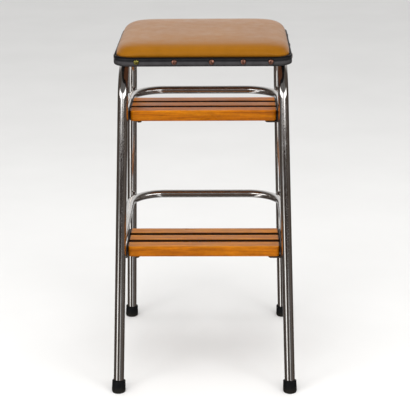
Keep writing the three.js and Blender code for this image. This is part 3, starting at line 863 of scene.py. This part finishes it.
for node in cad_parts:
    if "screw" not in node:
        continue
    middle, low, high = node_box(node)
    shape = screw_shape(high.z - low.z - SCREW_HEAD_HEIGHT)
    slot_turn = sum(map(ord, node)) * 0.7       # each slot stands at an angle of its own
    bmesh.ops.rotate(shape, cent=(0, 0, 0), matrix=Matrix.Rotation(slot_turn, 3, "Z"),
                     verts=shape.verts)
    bmesh.ops.translate(shape, vec=(middle.x, middle.y, low.z + SCREW_HEAD_HEIGHT),
                        verts=shape.verts)
    body = "seat" if node.startswith("hinge") else "frame"
    piece_of(node + "_finished", shape, body, ZINC, [node], 30)

for word, side in SIDES:
    node = "pivot_bolt_" + word
    middle, low, high = node_box(node)
    inner_end = Vector((low.x if side > 0 else high.x, middle.y, middle.z))
    shape = aimed(bolt_shape(high.x - low.x), X * side, inner_end)
    piece_of(node + "_finished", shape, "frame", ZINC, [node], 30)
    copied("pivot_nut_" + word, "frame", ZINC, PRESSED_EASING)
    copied("seat_hinge_" + word, "seat", PRESSED, PRESSED_EASING)
    node = "seat_buffer_" + word
    middle, _, _ = node_box(node)
    shape = aimed(buffer_shape(), Z, Vector((middle.x, middle.y, BOARD_BOTTOM)))
    piece_of(node + "_finished", shape, "seat", RUBBER, [node], 40)

for row, (outward, count) in NAIL_ROWS.items():
    tall, sink = (FRONT_DOME, 0) if row == "front" else (OTHER_DOME, OTHER_SINK)
    for number in range(1, count + 1):
        node = f"nail_{row}_{number}"
        middle, low, high = node_box(node)
        crest = middle + outward * (abs((high - low).dot(outward)) / 2)
        shape = aimed(nail_shape(tall), outward, crest - outward * sink)
        material = BRASS if node in BRASS_NAILS else COPPER
        piece_of(node + "_finished", shape, "seat", material, [node], 50)


# ---------------------------------------------------------------- seat

def crown(x, y):
    """How high the cushion stands at a place, from 0 at the rim to 1 in the middle."""
    half_depth = (SEAT_REAR - SEAT_FRONT) / 2 - CROWN_INSET
    across = max(0, 1 - (SEAT_HALF_WIDTH - CROWN_INSET - abs(x)) / half_depth)
    along = abs(y - (SEAT_FRONT + SEAT_REAR) / 2) / half_depth
    both = across ** 7 + along ** 7
    reach = min(1, both ** (1 / 7))
    softness = 0.4 + 0.2 * across ** 7 / max(both, 0.000001)
    return (1 - reach ** 9) ** softness


def cushion_slab():
    """The cushion before it is crowned and stuffed: a slab with the seat's round corners."""
    low = Vector((SLAB_INSET - SEAT_HALF_WIDTH, SEAT_FRONT + SLAB_INSET, SLAB_BOTTOM))
    high = Vector((SEAT_HALF_WIDTH - SLAB_INSET, SEAT_REAR - SLAB_INSET, BAND_TOP + SLAB_RISE))
    shape, upright = block(low, high)
    eased(shape, upright, SEAT_CORNER - SLAB_INSET, 16)
    return shape


def applied(piece):
    """The piece with its modifiers made permanent."""
    evaluated = piece.evaluated_get(bpy.context.evaluated_depsgraph_get())
    made = bpy.data.meshes.new_from_object(evaluated)
    piece.modifiers.clear()
    piece.data = made
    return piece


def remeshed(piece, voxel):
    even = piece.modifiers.new("even", "REMESH")
    even.mode = "VOXEL"
    even.voxel_size = voxel
    even.use_smooth_shade = True
    return applied(piece)


def clamped(value):
    return min(1, max(0, value))


def crowned(piece):
    """Lifts what stands above the band into the crown, a little fuller at the rear."""
    rise = CROWN_TOP - BAND_TOP - SLAB_RISE
    for vert in piece.data.vertices:
        share = clamped((vert.co.z - BAND_TOP) / CROWN_START)
        back = (vert.co.y - SEAT_FRONT) / (SEAT_REAR - SEAT_FRONT)
        fuller = FRONT_FULLNESS + (1 - FRONT_FULLNESS) * back
        vert.co.z += share * fuller * rise * crown(vert.co.x, vert.co.y)


def stuffed(piece):
    """Blows the cover up by cloth simulation, with its lower edge held under the band."""
    start = [v.co.copy() for v in piece.data.vertices]
    group = piece.vertex_groups.new(name="held")
    for vert in piece.data.vertices:
        group.add([vert.index], clamped((HELD_BELOW - vert.co.z) / HELD_FADE), "REPLACE")
    cloth = piece.modifiers.new("stuffing", "CLOTH")
    cloth.settings.quality = 8
    cloth.settings.mass = 0.3
    cloth.settings.tension_stiffness = 40
    cloth.settings.compression_stiffness = 40
    cloth.settings.shear_stiffness = 20
    cloth.settings.bending_stiffness = 30
    cloth.settings.use_pressure = True
    cloth.settings.uniform_pressure_force = 0.3
    cloth.settings.vertex_group_mass = "held"
    cloth.settings.effector_weights.gravity = 0
    cloth.point_cache.frame_start, cloth.point_cache.frame_end = 1, STUFFING_FRAMES
    for number in range(1, STUFFING_FRAMES + 1):
        bpy.context.scene.frame_set(number)
    applied(piece)
    bpy.context.scene.frame_set(1)
    for vert, before in zip(piece.data.vertices, start):
        moved = vert.co - before
        if moved.length > STUFFING_LIMIT:
            vert.co = before + moved * (STUFFING_LIMIT / moved.length)


def swollen(piece):
    """Swells the lower wall outward over the band."""
    middle_y = (SEAT_FRONT + SEAT_REAR) / 2
    straight_x = SEAT_HALF_WIDTH - SEAT_CORNER
    straight_y = (SEAT_REAR - SEAT_FRONT) / 2 - SEAT_CORNER
    for vert in piece.data.vertices:
        outside = vert.co - Vector((0, middle_y, vert.co.z))
        outside.x -= math.copysign(min(abs(outside.x), straight_x), outside.x)
        outside.y -= math.copysign(min(abs(outside.y), straight_y), outside.y)
        near = min(1, outside.length / SWELL_CORNER) ** 8
        above = clamped((vert.co.z - BAND_TOP) / SWELL_HEIGHT)
        vert.co += outside.normalized() * SWELL * near * max(0, math.sin(math.pi * above))


def staples(inset, spacing):
    """The staples that hold the hem, along the four straight edges of the board."""
    shape = bmesh.new()
    middle = Matrix.Translation((0, (SEAT_FRONT + SEAT_REAR) / 2, HEM_LOW + 0.1 * MM))
    wire = Matrix.Diagonal((STAPLE_LENGTH, STAPLE_WIRE, STAPLE_WIRE, 1))
    half_y = (SEAT_REAR - SEAT_FRONT) / 2
    rows = ((SEAT_HALF_WIDTH, half_y - inset, 0), (half_y, SEAT_HALF_WIDTH - inset, math.pi / 2))
    for half_run, offset, turn in rows:
        count = int(2 * (half_run - SEAT_CORNER) / spacing)
        for number in range(count + 1):
            along = (number - count / 2) * spacing
            tilt = 0.25 * noise.noise(Vector((along * 40, offset * 10, turn)))
            for sign in (-1, 1):
                spot = (Matrix.Rotation(turn, 4, "Z")
                        @ Matrix.Translation((along, sign * offset, 0))
                        @ Matrix.Rotation(tilt, 4, "Z"))
                bmesh.ops.create_cube(shape, size=1, matrix=middle @ spot @ wire)
    return shape


copied("seat_board", "seat", PLY, BOARD_EASING, 2)

replaced = ["seat_cover", "seat_foam"]
cushion = piece_of("seat_cushion", cushion_slab(), "seat", VINYL, replaced)
remeshed(cushion, SLAB_VOXEL)
crowned(cushion)
remeshed(cushion, CROWN_VOXEL)
stuffed(cushion)
soften = cushion.modifiers.new("soften", "SMOOTH")
soften.iterations = 6
soften.factor = 0.5
applied(cushion)
swollen(cushion)
cushion.data.materials.clear()
cushion.data.materials.append(VINYL)
finer = cushion.modifiers.new("finer", "SUBSURF")
finer.levels = finer.render_levels = 1

# The band's section: a roll below, a groove, and a bead above, as (inset, height) in mm
BAND_PROFILE = [
    (3.0, 0.0), (1.6, 0.0), (0.7, 0.5), (0.15, 1.8), (0.0, 4.0), (0.1, 6.2), (0.5, 8.3),
    (1.1, 9.6), (1.35, 10.3), (0.9, 11.0), (0.25, 12.1), (0.05, 13.4), (0.3, 14.7), (1.0, 15.8),
    (1.9, 16.3), (2.6, 16.2), (3.0, 15.6),
]
profile = [(inset * MM, BAND_BOTTOM + height * MM) for inset, height in BAND_PROFILE]
piece_of("seat_edge_band", seat_ring(profile, 24), "seat", EDGE, ["seat_band"], 60)
shape = seat_ring(strip(SKIRT_INNER, SKIRT_OUTER, SKIRT_LOW, SKIRT_HIGH))
piece_of("cover_skirt", shape, "seat", EDGE)
shape = seat_ring(strip(HEM_INNER, SKIRT_OUTER, HEM_LOW, HEM_HIGH, 0.1 * MM))
piece_of("cover_hem", shape, "seat", EDGE)
shape = staples(STAPLE_INSET, STAPLE_SPACING)
rounded(piece_of("hem_staples", shape, "seat", ZINC), 0.2 * MM, 2)


# ---------------------------------------------------------------- floor, lights, camera

def floor():
    shape = bmesh.new()
    bmesh.ops.create_grid(shape, x_segments=4, y_segments=4, size=FLOOR_HALF_SIZE)
    bmesh.ops.translate(shape, vec=(0, 0, -FLOOR_DROP), verts=shape.verts)
    mesh = bpy.data.meshes.new("floor")
    shape.to_mesh(mesh)
    shape.free()
    plane = bpy.data.objects.new("floor", mesh)
    bpy.context.scene.collection.objects.link(plane)
    material, tree, shader = new_material("floor_pale")
    soft = noise_of(tree, place(tree), 3, 3)
    pale = ramp(tree, soft, (0.3, (0.70, 0.695, 0.685)), (0.7, (0.73, 0.725, 0.715)))
    link(tree, pale, shader, "Base Color")
    shader.inputs["Roughness"].default_value = 0.8
    mesh.materials.append(material)
    plane.visible_glossy = False


def area_light(name, where, aim, size, power):
    """A lamp that mirrored surfaces don't show, because they show the studio's windows."""
    light = bpy.data.lights.new(name, "AREA")
    light.shape = "RECTANGLE"
    light.size, light.size_y = size
    light.energy = power
    lamp = bpy.data.objects.new(name, light)
    bpy.context.scene.collection.objects.link(lamp)
    lamp.location = where
    lamp.rotation_euler = (Vector(aim) - Vector(where)).to_track_quat("-Z", "Y").to_euler()
    lamp.visible_glossy = False


def seen_round(tree, bearing, *stops):
    """A ring of tones by compass bearing, in degrees from straight ahead of the stool."""
    share = sliding(tree, bearing, -math.pi, math.pi)
    return ramp(tree, share, *(((angle + 180) / 360, tone) for angle, tone in stops))


def studio():
    """A soft pale room; in mirrored surfaces it is dim and brown ahead, and pale behind."""
    world = bpy.data.worlds.new("studio")
    bpy.context.scene.world = world
    world.use_nodes = True
    tree = world.node_tree
    tree.nodes.clear()
    part = parts_of(tree, add(tree, "ShaderNodeTexCoord").outputs["Generated"])
    bearing = maths(tree, "ARCTAN2", part["X"], maths(tree, "MULTIPLY", part["Y"], -1))
    dim, dark, pale = (0.10, 0.082, 0.07), (0.05, 0.038, 0.033), 0.88
    panes, gap, wall = 3.0, 0.3, 0.2
    below = seen_round(
        tree, bearing,
        (-180, 0.45), (-158, 0.45), (-140, dark), (-75, dim), (-56, 0.16), (-48, 2.0),
        (-40, 2.0), (-33, 0.14), (-24, dark), (0, dim), (9, 0.12), (15, 0.85), (22, 0.85),
        (29, 0.12), (60, (0.15, 0.13, 0.12)), (90, dim), (140, dark), (158, 0.45), (180, 0.45),
    )
    horizon = seen_round(
        tree, bearing,
        (-180, pale), (-158, pale), (-140, dark), (-75, dim), (-52, 0.13), (-46, 0.42),
        (-40, 0.42), (-34, dim), (-24, dark), (12, dark), (17, 0.18), (22, dark), (60, dim),
        (90, dim), (140, dark), (158, pale), (180, pale),
    )
    windows = seen_round(
        tree, bearing,
        (-180, pale), (-150, pale), (-125, dim), (-80, dim), (-66, panes), (-13, panes),
        (-6, gap), (6, gap), (13, panes), (66, panes), (80, dim), (125, dim), (150, pale),
        (180, pale),
    )
    above = seen_round(
        tree, bearing,
        (-180, pale), (-150, pale), (-125, dim), (-60, dim), (-40, wall), (-15, wall), (0, dim),
        (15, wall), (40, wall), (60, dim), (125, dim), (150, pale), (180, pale),
    )
    # From the floor upwards: the rings follow each other between these heights
    room = mixed(tree, sliding(tree, part["Z"], -0.01, 0.05), below, horizon)
    room = mixed(tree, sliding(tree, part["Z"], 0.166, 0.178), room, windows)
    room = mixed(tree, sliding(tree, part["Z"], 0.38, 0.42), room, above)
    room = mixed(tree, sliding(tree, part["Z"], 0.6, 0.97), room, (0.10, 0.095, 0.09))
    ray = add(tree, "ShaderNodeLightPath").outputs
    colour = mixed(tree, ray["Is Glossy Ray"], 0.85, room)
    colour = mixed(tree, ray["Is Camera Ray"], colour, 0.74)
    background = add(tree, "ShaderNodeBackground", {"Color": colour, "Strength": 1.0})
    output = add(tree, "ShaderNodeOutputWorld")
    tree.links.new(background.outputs["Background"], output.inputs["Surface"])


def camera():
    """The photograph's viewpoint: a little above seat height, looking down at the stool."""
    along = Vector((math.sin(HEADING), math.cos(HEADING), 0))
    across = Vector((math.cos(HEADING), -math.sin(HEADING), 0))
    ahead = along * math.cos(PITCH) - Z * math.sin(PITCH)
    above = along * math.sin(PITCH) + Z * math.cos(PITCH)
    right = across * math.cos(ROLL) + above * math.sin(ROLL)
    up = above * math.cos(ROLL) - across * math.sin(ROLL)
    data = bpy.data.cameras.new("camera")
    data.sensor_width = SENSOR
    data.lens = SENSOR * FOCAL_SHARE
    data.clip_start, data.clip_end = 0.05, 60
    eye = bpy.data.objects.new("camera", data)
    bpy.context.scene.collection.objects.link(eye)
    spot = across * EYE_ASIDE - along * EYE_BACK - Y * EYE_SHIFT + Z * EYE_HEIGHT
    turn = Matrix((right, up, -ahead)).transposed()
    eye.matrix_world = Matrix.Translation(spot) @ turn.to_4x4()
    bpy.context.scene.camera = eye


floor()
studio()
for word, side in SIDES:
    area_light("window_" + word, (side * 1.75, -1.95, 1.3), (0, 0, 0.52), (1.0, 0.72), 19)
    area_light("front_" + word, (side * 0.9, -3.0, 1.7), (0, 0, 0.4), (1.0, 1.0), 18)
area_light("ceiling", (0, -0.3, 2.6), (0, 0, 0.3), (2.2, 1.8), 34)
camera()
bpy.context.scene.view_settings.view_transform = "Standard"
